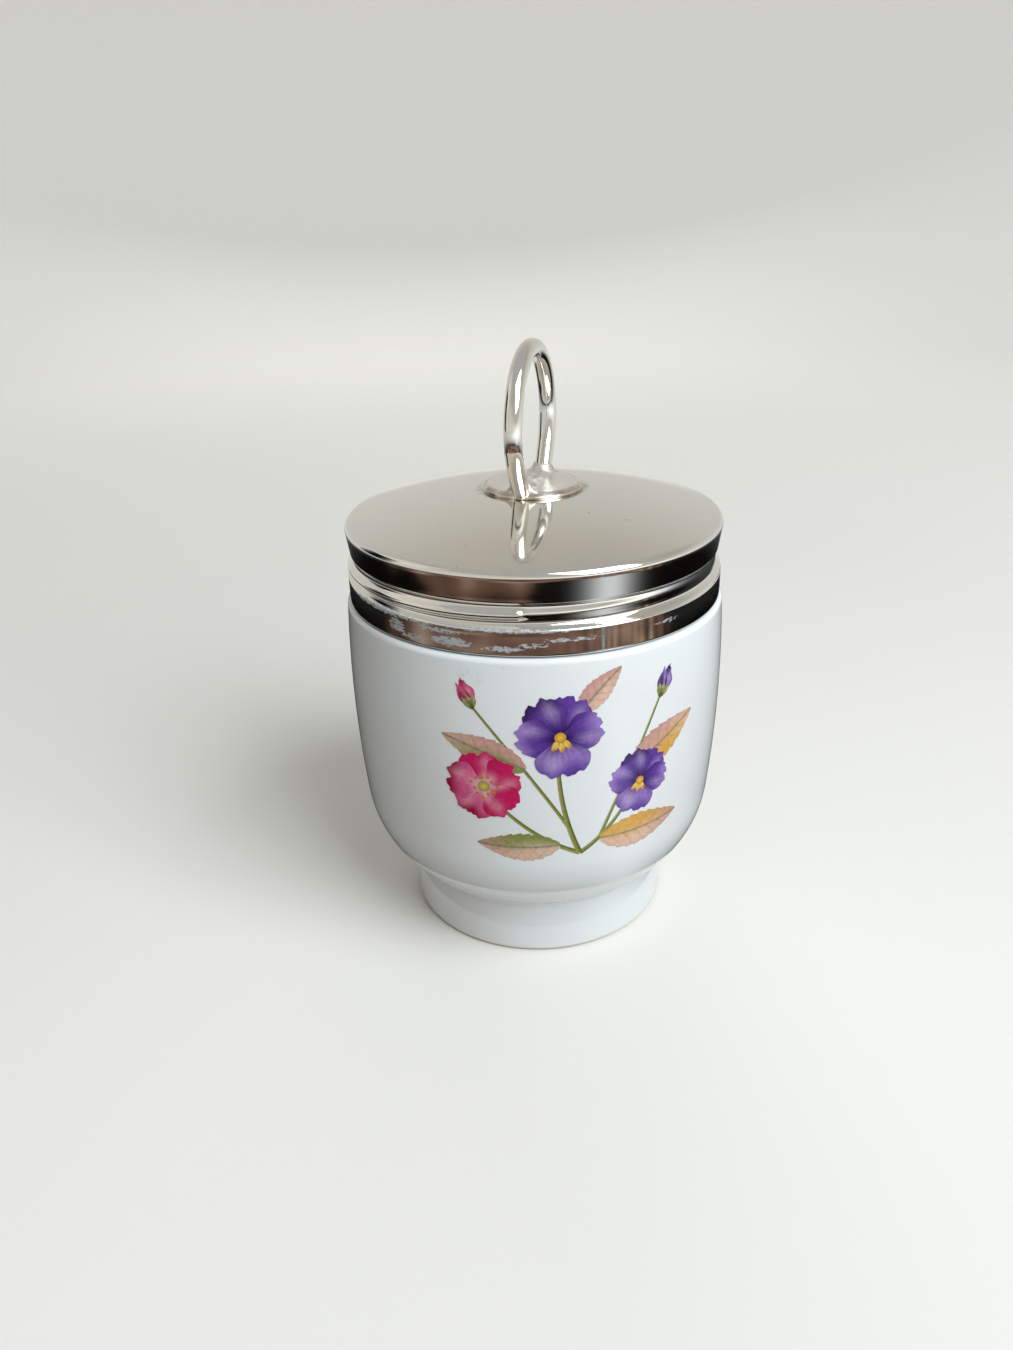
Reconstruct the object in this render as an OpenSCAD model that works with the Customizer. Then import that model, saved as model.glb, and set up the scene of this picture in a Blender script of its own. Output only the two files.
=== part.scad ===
// Porcelain egg coddler with a plated screw lid and a lifting ring.
// Millimetres. The origin is the centre of the foot's underside and +Z is up.
// The lifting ring stands in the YZ plane, so a finger goes through it along X.

/* [Cup body] */
// How far the body's widest place stands out past the lid's rim
belly_over_rim = 1.05; // [0.6:0.05:2]
// Height of the widest place
belly_z = 44.7; // [42:0.1:47]
// Radius of the long barrel curve of the side
barrel_arc = 215; // [150:1:300]
// Radius of the tight curve at the bottom of the side
corner_arc = 19.2; // [17:0.1:21]
// Height of the tight curve's centre
corner_z = 25.5; // [24:0.1:27]
// Height of the shoulder that the lid comes down to
shoulder_z = 58.9; // [57:0.1:61]
// Rounding of the shoulder's outer edge
shoulder_round = 0.9; // [0.5:0.1:1.2]
// Thickness of the body's wall
cup_wall = 3.4; // [2.6:0.1:4]

/* [Foot] */
// Outer radius of the foot ring at its top
foot_r = 23.3; // [22:0.1:25]
// How much the foot ring draws in towards the table
foot_taper = 0.5; // [0:0.05:1.2]
// Width of the foot ring's wall
foot_wall = 3.6; // [3:0.1:5]
// Rounding of the foot ring's two lower edges
foot_edge = 0.8; // [0.4:0.1:1.2]
// Hollow fillet where the foot meets the body
foot_fillet = 1; // [0.5:0.1:1.6]
// Thickness of the floor inside the foot ring
floor_thick = 3.6; // [2.8:0.1:5]
// Inner fillet between the foot ring and the floor's underside
recess_fillet = 1.6; // [0.8:0.1:2.4]

/* [Neck] */
// Thickness of the neck's wall, from the mouth to the neck's outside
neck_wall = 3.26; // [2.8:0.02:4]
// Rounding of the rim's two edges
lip_round = 1.2; // [0.6:0.1:1.3]
// Hollow fillet where the neck leaves the shoulder
neck_fillet = 0.5; // [0.2:0.05:0.6]
// Height over which the inside widens from the mouth to the body
throat_h = 9; // [6:0.5:14]

/* [Thread] */
// Rise of the thread in one turn
thread_pitch = 2.5; // [2.2:0.05:2.8]
// Length of the lid's rolled thread along its turn, in degrees
thread_len = 380; // [330:5:400]
// Where the rolled thread ends on the lid, in degrees about Z from +X
thread_end_angle = 284; // [0:1:359]
// Height of the rolled thread's crest at its end, above the skirt's edge
thread_end_h = 6.2; // [5.9:0.05:6.5]
// How far the rolled thread stands out of the sheet around it
thread_depth = 0.85; // [0.7:0.05:0.95]
// Degrees over which the faint run-out after the end dies away
tail_len = 66; // [30:2:90]
// Height of the faint run-out, as a part of the thread's own height
tail_part = 0.35; // [0.2:0.05:0.6]
// Running gap between the porcelain thread and the lid
thread_gap = 0.24; // [0.18:0.02:0.3]
// How far the porcelain ridge stops short of each end of the rolled one, in degrees
ridge_short = 24; // [16:2:40]

/* [Lid] */
// Outer radius of the lid's rim
rim_r = 30.55; // [28:0.05:33]
// Height of the skirt from its lower edge to the rim's widest place
skirt_h = 11.6; // [11:0.1:12.5]
// How far the skirt's lower band stands out past the rim
skirt_over_rim = 0.05; // [0:0.05:0.3]
// Height of the skirt's lower band
low_band_h = 4.3; // [4.1:0.1:4.6]
// How far the upper band draws in from the rim down to the thread
band_draw = 0.5; // [0.35:0.05:0.65]
// Height of the thread zone's upper end above the skirt's edge
thread_zone_h = 8.1; // [8:0.05:8.4]
// Rounding of the rim's edge
rim_round = 1.1; // [0.7:0.1:1.6]
// Rise of the domed top above the rim's widest place
dome_h = 5.2; // [4:0.1:7]
// Thickness of the plated sheet
sheet = 0.55; // [0.45:0.05:0.6]
// Gap between the closed lid and the porcelain, under the skirt and over the rim
seat_gap = 0.2; // [0.1:0.05:0.3]

/* [Ring plate] */
// Radius of the round plate under the ring
plate_r = 8.2; // [7.8:0.1:9.5]
// Thickness of the plate
plate_thick = 1; // [0.6:0.1:1.6]
// Width of the bevel around the plate's top
plate_bevel = 0.6; // [0.2:0.1:1]

/* [Lifting ring] */
// Radius of the ring to the middle of its wire
ring_r = 11; // [10:0.1:12.5]
// Diameter of the wire
wire_d = 2.9; // [2.2:0.1:3.4]
// Height of the ring's centre above the plate
ring_rise = 9.5; // [8.8:0.1:10.5]
// Where the ring's curve ends in straight feet, in degrees below its middle
leg_angle = 30; // [24:1:36]
// Height of the solder around each foot
solder_h = 1.3; // [0.8:0.1:1.8]
// How far the solder spreads out from each foot's wire
solder_spread = 1.4; // [0.8:0.1:1.8]
// Height of the solder that has run between the feet
solder_run_h = 0.6; // [0.3:0.1:0.9]
// Width of the solder that has run between the feet
solder_run_w = 4; // [3:0.1:5]

/* [Hidden] */
$fn = 96;

porcelain = [0.93, 0.95, 0.96];
plated = [0.78, 0.78, 0.75];
solder_grey = [0.66, 0.66, 0.63];

arc_steps = 14;          // straight pieces in each rounded corner of an outline
side_steps = 18;         // straight pieces in each long curve of an outline
turn_steps = 90;         // flat faces around the thread
thread_rows = 8;         // flat faces across the porcelain ridge
zone_rows = 19;          // flat faces up the lid's thread zone
bury = 0.35;             // how deep the porcelain ridge is rooted in the neck
tuck = 0.04;             // how far the edges of the ridge's profile lie under the neck they rise from
plain_h = 3.4;           // height of the lower band's plain part
seam = 0.15;             // where the thread zone's tapered ends cross the ends of the two bands
seam_in = 0.08;          // how far inside the bands' faces the thread zone is at that crossing
shoulder_start = 10;     // where the shoulder's rounding starts, in degrees above level
throat_stop = 1;         // how far above the corner curve the throat's points end
pad_over_plate = 0.3;    // how far the lid's flat pad stands out past the plate on it
rim_over_crest = 0.05;   // how far the rim stands out past the thread's crest
half_step = 0.02;        // how much thinner the straight feet are than the ring's wire
band_run = 0.8;          // height of the slopes from the two bands to the thread's root
end_run = 5;             // degrees in which the rolled thread's rounded end falls away
ridge_run = 26;          // degrees in which the porcelain ridge rises at each end

// Lid heights, from the shoulder up
skirt_z = shoulder_z + seat_gap;
rim_z = skirt_z + skirt_h;
low_band_z = skirt_z + low_band_h;
band_z = skirt_z + thread_zone_h;
plain_z = skirt_z + plain_h;
skirt_r = rim_r + skirt_over_rim;
band_r = rim_r - band_draw;
crest_r = rim_r - rim_over_crest;
root_r = crest_r - thread_depth;

// The lid's dome: a sphere that meets the rim's rounding smoothly
dome_r = ((rim_r - rim_round) ^ 2 + dome_h ^ 2 - rim_round ^ 2) / (2 * (dome_h - rim_round));
dome_cz = rim_z + dome_h - dome_r;
rim_angle = atan2(rim_z - dome_cz, rim_r - rim_round);
pad_r = plate_r + pad_over_plate;
pad_z = dome_cz + sqrt(dome_r ^ 2 - pad_r ^ 2);
plate_top = pad_z + plate_thick;

// The thread: one crest line for the rolled thread and the porcelain ridge
thread_start_angle = thread_end_angle - thread_len;
thread_z0 = skirt_z + thread_end_h - thread_pitch * thread_len / 360;
neck_r = root_r - sheet - thread_gap;
mouth_r = neck_r - neck_wall;
ridge_r = crest_r - sheet - thread_gap;
thread_half = thread_pitch / 2 - tuck;
ridge_half = thread_half - thread_gap / 2;
ridge_from = ridge_short;
ridge_to = thread_len - ridge_short;

// The cup: a barrel curve and a corner curve that touch, then the foot
belly_r = rim_r + belly_over_rim;
barrel_cx = belly_r - barrel_arc;
corner_cx = barrel_cx + sqrt((barrel_arc - corner_arc) ^ 2 - (belly_z - corner_z) ^ 2);
join_angle = atan2(corner_z - belly_z, corner_cx - barrel_cx);
fillet_cx = foot_r + foot_fillet;
fillet_cz = corner_z - sqrt((corner_arc + foot_fillet) ^ 2 - (fillet_cx - corner_cx) ^ 2);
fillet_angle = atan2(corner_z - fillet_cz, corner_cx - fillet_cx);
side_top_z = shoulder_z - shoulder_round;
side_top_r = barrel_cx + sqrt(barrel_arc ^ 2 - (side_top_z - belly_z) ^ 2);
side_top_angle = asin((side_top_z - belly_z) / barrel_arc);
floor_z = corner_z - corner_arc + cup_wall;
recess_z = floor_z - floor_thick;
foot_out = foot_r - foot_taper;
foot_in = foot_out - foot_wall;
lip_z = dome_cz + sqrt((dome_r - sheet) ^ 2 - (neck_r - lip_round) ^ 2) - seat_gap;

// Ring
ring_z = plate_top + ring_rise;
leg_y = ring_r * cos(leg_angle);
leg_z = ring_z - ring_r * sin(leg_angle);
foot_y = leg_y - (leg_z - plate_top) * tan(leg_angle);
leg_len = (leg_z - plate_top) / cos(leg_angle) + wire_d;
leg_lap = 0.2;           // how far each foot starts inside the ring's curve
span = 2 * ring_r;       // half the side of a block that holds the whole ring

function arc(cx, cz, r, a0, a1, n) = [
    for (i = [0 : n])
        let (a = a0 + (a1 - a0) * i / n)
        [cx + r * cos(a), cz + r * sin(a)]
];

// Half a cosine wave: 1 in the middle, 0 at a distance w and beyond
function bump(d, w) = abs(d) >= w ? 0 : (1 + cos(180 * d / w)) / 2;

// Smooth change from 0 at a to 1 at b
function ease(x, a, b) = let (t = max(0, min(1, (x - a) / (b - a)))) t * t * (3 - 2 * t);

// Height of the thread's crest line, s degrees along it
function crest_z(s) = thread_z0 + thread_pitch * s / 360;

// How much of its full height the rolled thread has, s degrees along it
function rolled(s) =
    s <= thread_len
        ? max(tail_part, ease(thread_len - s, 0, end_run))
        : tail_part * (1 - ease(s - thread_len, 0, tail_len));

// A rod-shaped solid from rows of points, with a cap at each end
function rod_faces(steps, size) = [
    for (j = [0 : steps - 1], k = [0 : size - 1])
        let (
            a = j * size + k,
            b = j * size + (k + 1) % size,
            c = (j + 1) * size + (k + 1) % size,
            d = (j + 1) * size + k
        )
        each [[a, c, b], [a, d, c]],
    for (k = [1 : size - 2]) [0, k, k + 1],
    for (k = [1 : size - 2]) [steps * size, steps * size + k + 1, steps * size + k]
];

// A closed ring from loops of points that stand side by side around the axis
function tube_faces(steps, size) = [
    for (j = [0 : steps - 1], k = [0 : size - 1])
        let (
            next_j = (j + 1) % steps,
            next_k = (k + 1) % size,
            a = j * size + k,
            b = j * size + next_k,
            c = next_j * size + next_k,
            d = next_j * size + k
        )
        each [[a, b, c], [a, c, d]]
];

function polar(r, a, z) = [r * cos(a), r * sin(a), z];

module cup_body() {
    rotate_extrude()
        polygon(concat(
            [[0, recess_z]],
            arc(foot_in - recess_fillet, recess_z - recess_fillet, recess_fillet, 90, 0, arc_steps),
            arc(foot_in + foot_edge, foot_edge, foot_edge, 180, 270, arc_steps),
            arc(foot_out - foot_edge, foot_edge, foot_edge, 270, 360, arc_steps),
            arc(fillet_cx, fillet_cz, foot_fillet, 180, fillet_angle, arc_steps),
            arc(corner_cx, corner_z, corner_arc, fillet_angle - 180, join_angle, side_steps),
            arc(barrel_cx, belly_z, barrel_arc, join_angle, side_top_angle, side_steps),
            arc(side_top_r - shoulder_round, side_top_z, shoulder_round, shoulder_start, 90, arc_steps),
            arc(neck_r + neck_fillet, shoulder_z + neck_fillet, neck_fillet, 270, 180, arc_steps),
            arc(neck_r - lip_round, lip_z - lip_round, lip_round, 0, 90, arc_steps),
            arc(mouth_r + lip_round, lip_z - lip_round, lip_round, 90, 180, arc_steps),
            throat(),
            arc(corner_cx, corner_z, corner_arc - cup_wall, join_angle, -90, side_steps),
            [[0, floor_z]]
        ));
}

// Inside radius of the body where the side follows the barrel curve
function inside_r(z) = barrel_cx + sqrt((barrel_arc - cup_wall) ^ 2 - (z - belly_z) ^ 2);

// The inside from the mouth down to the corner curve
function throat() =
    let (low_z = corner_z + (corner_arc - cup_wall) * sin(join_angle) + throat_stop)
    [
        for (i = [0 : side_steps * 2])
            let (z = shoulder_z + (low_z - shoulder_z) * i / (side_steps * 2))
            [mouth_r + (inside_r(z) - mouth_r) * ease(shoulder_z - z, 0, throat_h), z]
    ];

// A thread: a rounded ridge that rises h out of a wall of the radius r, rooted to the depth
// below it. rises holds its share of the full height at each step from s0 to s1.
module helix(r, h, depth, half, s0, s1, rises) {
    steps = len(rises) - 1;
    points = [
        for (j = [0 : steps])
            let (s = s0 + (s1 - s0) * j / steps, a = thread_start_angle + s, z = crest_z(s))
            each concat(
                [polar(r - depth, a, z + half), polar(r - depth, a, z - half)],
                [
                    for (i = [0 : thread_rows])
                        let (d = half * (2 * i / thread_rows - 1))
                        polar(r - tuck + (h + tuck) * rises[j] * bump(d, half), a, z + d)
                ]
            )
    ];
    polyhedron(points = points, faces = rod_faces(steps, thread_rows + 3));
}

function steps_for(s0, s1) = ceil((s1 - s0) * turn_steps / 360);

// The porcelain ridge's share of its full height at each step along the neck
function ridge_rises() =
    let (n = steps_for(ridge_from, ridge_to))
    [
        for (j = [0 : n])
            let (s = ridge_from + (ridge_to - ridge_from) * j / n)
            min(ease(s, ridge_from, ridge_from + ridge_run),
                ease(-s, -ridge_to, ridge_run - ridge_to))
    ];

module cup() {
    color(porcelain)
        union() {
            cup_body();
            helix(neck_r, ridge_r - neck_r, bury, ridge_half, ridge_from, ridge_to, ridge_rises());
        }
}

// The dome, the rim and the upper band, spun from one profile
module lid_top() {
    rotate_extrude()
        polygon(concat(
            [[0, pad_z]],
            arc(0, dome_cz, dome_r, acos(pad_r / dome_r), rim_angle, side_steps),
            arc(rim_r - rim_round, rim_z, rim_round, rim_angle, 0, arc_steps),
            [
                [band_r, band_z + seam],
                [band_r - sheet, band_z + seam]
            ],
            arc(rim_r - rim_round, rim_z, rim_round - sheet, 0, rim_angle, arc_steps),
            arc(0, dome_cz, dome_r - sheet, rim_angle, acos(pad_r / (dome_r - sheet)), side_steps),
            [[0, pad_z - sheet]]
        ));
}

// The plain lower band with its rounded edge
module lid_edge() {
    edge = sheet / 2;
    rotate_extrude()
        polygon(concat(
            [
                [skirt_r - sheet, plain_z - seam],
                [skirt_r, plain_z - seam]
            ],
            arc(skirt_r - edge, skirt_z + edge, edge, 0, -180, arc_steps)
        ));
}

// Outer radius of the skirt at the height z, before the thread is rolled
function skirt_wall(z) =
    z > low_band_z + band_run
        ? root_r + (band_r - root_r) * ease(z, band_z - band_run, band_z)
        : skirt_r + (root_r - skirt_r) * ease(z, low_band_z - band_run / 2, low_band_z + band_run / 2);

// How far the rolled thread stands out at the height z, s degrees along it
function bead(s, z) = thread_depth * rolled(s) * bump(z - crest_z(s), thread_half);

// Outer radius of the skirt at the height z, s degrees round from the start of the thread
function rolled_wall(s, z) = max(skirt_wall(z), root_r + max(bead(s, z), bead(s + 360, z)));

// The zone between the two bands, with the thread rolled into it: one sheet of even thickness.
// Its two ends taper into the exact bands above and below.
module thread_zone() {
    rows = concat(
        [[plain_z - 2 * seam, 2 * seam_in]],
        [for (i = [0 : zone_rows]) [plain_z + (band_z - plain_z) * i / zone_rows, 0]],
        [[band_z + 2 * seam, 2 * seam_in]]
    );
    last = len(rows) - 1;
    size = 2 * len(rows);
    points = [
        for (j = [0 : turn_steps - 1])
            let (s = 360 * j / turn_steps, a = thread_start_angle + s)
            each concat(
                [for (row = rows) polar(rolled_wall(s, row[0]) - row[1], a, row[0])],
                [
                    for (i = [last : -1 : 0])
                        polar(rolled_wall(s, rows[i][0]) - sheet + rows[i][1], a, rows[i][0])
                ]
            )
    ];
    polyhedron(points = points, faces = tube_faces(turn_steps, size));
}

module lid_cap() {
    color(plated)
        union() {
            lid_top();
            thread_zone();
            lid_edge();
        }
}

module ring_plate() {
    color(plated)
        translate([0, 0, pad_z])
            rotate_extrude()
                polygon([
                    [0, 0],
                    [plate_r, 0],
                    [plate_r, plate_thick / 3],
                    [plate_r - plate_bevel, plate_thick],
                    [0, plate_thick]
                ]);
}

// The straight wire of both feet
module ring_legs(d) {
    for (side = [0, 1])
        mirror([0, side, 0])
            translate([0, leg_y, leg_z])
                rotate([180 - leg_angle, 0, 0])
                    translate([0, 0, -leg_lap])
                        cylinder(d = d, h = leg_len);
}

module lift_ring() {
    color(plated)
        intersection() {
            union() {
                translate([0, 0, ring_z])
                    rotate([90, 0, 90])
                        rotate([0, 0, -leg_angle])
                            rotate_extrude(angle = 180 + 2 * leg_angle)
                                translate([ring_r, 0])
                                    circle(d = wire_d);
                ring_legs(wire_d - half_step);
            }
            translate([-span, -span, plate_top])
                cube(2 * span);
        }
}

// Solder around the two feet, and what has run between them
module ring_solder() {
    run_r = (solder_run_w ^ 2 / 4 + solder_run_h ^ 2) / (2 * solder_run_h);
    color(solder_grey)
        difference() {
            intersection() {
                union() {
                    for (side = [-1, 1])
                        translate([0, side * foot_y, plate_top])
                            cylinder(r1 = wire_d / 2 + solder_spread, r2 = wire_d / 2, h = solder_h);
                    translate([0, foot_y, plate_top + solder_run_h - run_r])
                        rotate([90, 0, 0])
                            cylinder(r = run_r, h = 2 * foot_y);
                }
                translate([0, 0, plate_top])
                    cylinder(r = plate_r - plate_bevel, h = ring_rise);
            }
            ring_legs(wire_d - half_step);
        }
}

cup();
lid_cap();
ring_plate();
lift_ring();
ring_solder();
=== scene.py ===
"""Looks of a porcelain egg coddler with a plated screw lid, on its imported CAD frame.

Lengths are in millimetres until a mesh is made, apart from the studio's, which are in metres.
Azimuths are in degrees from -Y towards +X.
"""

import math

import bpy
import numpy as np
from mathutils import Matrix, Vector, noise


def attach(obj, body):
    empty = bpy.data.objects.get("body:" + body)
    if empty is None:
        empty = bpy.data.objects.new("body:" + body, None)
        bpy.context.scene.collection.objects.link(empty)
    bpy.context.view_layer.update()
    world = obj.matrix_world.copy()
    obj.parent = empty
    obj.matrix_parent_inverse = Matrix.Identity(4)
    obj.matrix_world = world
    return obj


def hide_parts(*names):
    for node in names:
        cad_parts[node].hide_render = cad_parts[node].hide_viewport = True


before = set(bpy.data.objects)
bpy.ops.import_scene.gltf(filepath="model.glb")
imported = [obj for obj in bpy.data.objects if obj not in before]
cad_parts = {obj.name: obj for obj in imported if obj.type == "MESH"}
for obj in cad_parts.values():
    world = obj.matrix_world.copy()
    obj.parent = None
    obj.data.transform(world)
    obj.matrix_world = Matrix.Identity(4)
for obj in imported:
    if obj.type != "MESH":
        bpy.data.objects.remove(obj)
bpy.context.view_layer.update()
MM = 0.001

# ---------------------------------------------------------------- sizes, as in the part's source
BELLY_R, BELLY_Z, BARREL_ARC = 31.6, 44.7, 215.0
CORNER_ARC, CORNER_Z = 19.2, 25.5
SHOULDER_Z, SHOULDER_ROUND = 58.9, 0.9
CUP_WALL, FLOOR_THICK = 3.4, 3.6
FOOT_R, FOOT_TAPER, FOOT_WALL, FOOT_EDGE, FOOT_FILLET, RECESS_FILLET = 23.3, 0.5, 3.6, 0.8, 1.0, 1.6
MOUTH_R, LIP_ROUND, NECK_FILLET, THROAT_H = 25.6, 1.2, 0.5, 9.0
PITCH, THREAD_LEN, THREAD_END_ANGLE, THREAD_END_H = 2.5, 380.0, 284.0, 6.2
THREAD_DEPTH, TAIL_LEN, TAIL_PART, THREAD_GAP, RIDGE_SHORT, RIDGE_RUN = 0.85, 66.0, 0.35, 0.24, 24.0, 26.0
RIM_R, SKIRT_H, SKIRT_R, LOW_BAND_H, BAND_R, ZONE_H = 30.55, 11.6, 30.6, 4.3, 30.05, 8.1
RIM_ROUND, DOME_H, SHEET, SEAT_GAP, BAND_RUN, TUCK, END_RUN = 1.1, 5.2, 0.55, 0.2, 0.8, 0.04, 5.0
PLATE_R, PLATE_THICK, PLATE_BEVEL = 8.2, 1.0, 0.6
RING_R, WIRE_D, RING_RISE, LEG_ANGLE = 11.0, 2.9, 9.5, 30.0
SOLDER_H, SOLDER_SPREAD, SOLDER_RUN_H, SOLDER_RUN_W = 1.3, 1.4, 0.6, 4.0
RIM_OVER_CREST, PAD_OVER_PLATE, PLAIN_H = 0.05, 0.3, 3.2

SKIRT_Z = SHOULDER_Z + SEAT_GAP
RIM_Z = SKIRT_Z + SKIRT_H
LOW_BAND_Z = SKIRT_Z + LOW_BAND_H
BAND_Z = SKIRT_Z + ZONE_H
ROOT_R = RIM_R - RIM_OVER_CREST - THREAD_DEPTH
DOME_R = ((RIM_R - RIM_ROUND) ** 2 + DOME_H**2 - RIM_ROUND**2) / (2 * (DOME_H - RIM_ROUND))
DOME_CZ = RIM_Z + DOME_H - DOME_R
RIM_ANGLE = math.degrees(math.atan2(RIM_Z - DOME_CZ, RIM_R - RIM_ROUND))
PAD_R = PLATE_R + PAD_OVER_PLATE
PAD_Z = DOME_CZ + math.sqrt(DOME_R**2 - PAD_R**2)
PLATE_TOP = PAD_Z + PLATE_THICK
THREAD_START = THREAD_END_ANGLE - THREAD_LEN
THREAD_Z0 = SKIRT_Z + THREAD_END_H - PITCH * THREAD_LEN / 360
NECK_R = ROOT_R - SHEET - THREAD_GAP
RING_Z = PLATE_TOP + RING_RISE
LEG_Y = RING_R * math.cos(math.radians(LEG_ANGLE))
LEG_Z = RING_Z - RING_R * math.sin(math.radians(LEG_ANGLE))
FOOT_Y = LEG_Y - (LEG_Z - PLATE_TOP) * math.tan(math.radians(LEG_ANGLE))

BARREL_CX = BELLY_R - BARREL_ARC
CORNER_CX = BARREL_CX + math.sqrt((BARREL_ARC - CORNER_ARC) ** 2 - (BELLY_Z - CORNER_Z) ** 2)
JOIN_ANGLE = math.degrees(math.atan2(CORNER_Z - BELLY_Z, CORNER_CX - BARREL_CX))
FILLET_CX = FOOT_R + FOOT_FILLET
FILLET_CZ = CORNER_Z - math.sqrt((CORNER_ARC + FOOT_FILLET) ** 2 - (FILLET_CX - CORNER_CX) ** 2)
FILLET_ANGLE = math.degrees(math.atan2(CORNER_Z - FILLET_CZ, CORNER_CX - FILLET_CX))
FLOOR_Z = CORNER_Z - CORNER_ARC + CUP_WALL
RECESS_Z = FLOOR_Z - FLOOR_THICK
FOOT_OUT = FOOT_R - FOOT_TAPER
FOOT_IN = FOOT_OUT - FOOT_WALL
LIP_Z = DOME_CZ + math.sqrt((DOME_R - SHEET) ** 2 - (NECK_R - LIP_ROUND) ** 2) - SEAT_GAP

GLAZE_STEP = 0.06  # the print's room: the porcelain is drawn this much inside its solid
ROLL_FILLET = 0.06  # round where the rolled thread meets the skirt
CUP_SEGMENTS, LID_SEGMENTS, PLATE_SEGMENTS, WIRE_SEGMENTS = 288, 360, 192, 32
NECK_ROWS, THROAT_ROWS, ZONE_ROWS = 80, 32, 64


# ---------------------------------------------------------------- small helpers
def ease(x, a, b):
    """From 0 at a to 1 at b, with a smooth start and end."""
    t = np.clip((x - a) / (b - a), 0, 1)
    return t * t * (3 - 2 * t)


def bump(d, w):
    """One round wave, 1 at 0 and 0 from w on."""
    return np.where(np.abs(d) >= w, 0.0, (1 + np.cos(np.pi * d / w)) / 2)


def arc(cx, cz, r, a0, a1, n):
    """Points (radius, height) on an arc from a0 to a1 degrees, in n steps."""
    a = np.radians(np.linspace(a0, a1, n + 1))
    return [(cx + r * c, cz + r * s) for c, s in zip(np.cos(a), np.sin(a))]


def line(p, q, n):
    """Points strictly between p and q, which part the line into n steps."""
    return [(p[0] + (q[0] - p[0]) * i / n, p[1] + (q[1] - p[1]) * i / n) for i in range(1, n)]


def linked(name, data):
    """A new object with this data, in the scene."""
    obj = bpy.data.objects.new(name, data)
    bpy.context.scene.collection.objects.link(obj)
    return obj


def mesh_object(name, verts, faces, body, replaces=()):
    """A smooth piece, given in millimetres, that rides on a body."""
    mesh = bpy.data.meshes.new(name)
    mesh.from_pydata([tuple(v * MM for v in p) for p in verts], [], faces)
    mesh.validate()
    mesh.shade_smooth()
    obj = linked(name, mesh)
    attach(obj, body)
    if replaces:
        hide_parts(*replaces)
    return obj


def point_values(obj, name, values):
    """A number at each point, for a shader to read."""
    attribute = obj.data.attributes.new(name, "FLOAT", "POINT")
    attribute.data.foreach_set("value", np.asarray(values, np.float32))


def spun(profile, segments, shape=None, ends_on_axis=True):
    """Points and faces of a profile turned about Z. Its first point is on the axis, and mostly its last too.
    shape(radius, height, polar degrees) gives each other point's radius."""
    verts, faces = [(0, 0, profile[0][1])], []
    inner = profile[1:-1] if ends_on_axis else profile[1:]
    for j in range(segments):
        a = 360 * j / segments
        c, s = math.cos(math.radians(a)), math.sin(math.radians(a))
        for r, z in inner:
            rr = shape(r, z, a) if shape else r
            verts.append((rr * c, rr * s, z))
    if ends_on_axis:
        verts.append((0, 0, profile[-1][1]))
    n, last = len(inner), len(verts) - 1
    for j in range(segments):
        a, b = 1 + j * n, 1 + (j + 1) % segments * n
        faces.append((0, a, b))
        faces += [(a + i, a + i + 1, b + i + 1, b + i) for i in range(n - 1)]
        if ends_on_axis:
            faces.append((a + n - 1, last, b + n - 1))
    return verts, faces


def grid_border(rows, columns):
    """The points round the edge of a grid, in order."""
    return (
        list(range(columns))
        + [i * columns + columns - 1 for i in range(1, rows)]
        + [(rows - 1) * columns + j for j in range(columns - 2, -1, -1)]
        + [i * columns for i in range(rows - 2, 0, -1)]
    )


def patches_at(patches, azimuth, z):
    """The strongest of some soft-edged patches at a place on a round side."""
    far_off = 4
    strongest = 0.0
    for az, height, half_az, half_z, strength in patches:
        d = (azimuth - az + 180) % 360 - 180
        q = (d / half_az) ** 2 + ((z - height) / half_z) ** 2
        if q < far_off:
            strongest = max(strongest, strength * math.exp(-q * q))
    return strongest


def side_patches(verts, patches, on_side):
    """The patches' strength at each point, and 0 where on_side(radius, height) is false."""
    values = []
    for x, y, z in verts:
        azimuth = math.degrees(math.atan2(x, -y))
        values.append(patches_at(patches, azimuth, z) if on_side(math.hypot(x, y), z) else 0.0)
    return values


# ---------------------------------------------------------------- the cup
def side_radius(z):
    """Outer radius of the body's side at the height z."""
    if z > CORNER_Z + CORNER_ARC * math.sin(math.radians(JOIN_ANGLE)):
        return BARREL_CX + math.sqrt(BARREL_ARC**2 - (z - BELLY_Z) ** 2)
    return CORNER_CX + math.sqrt(CORNER_ARC**2 - (z - CORNER_Z) ** 2)


def crest_z(s):
    """Height of the thread's crest after s degrees."""
    return THREAD_Z0 + PITCH * s / 360


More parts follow.
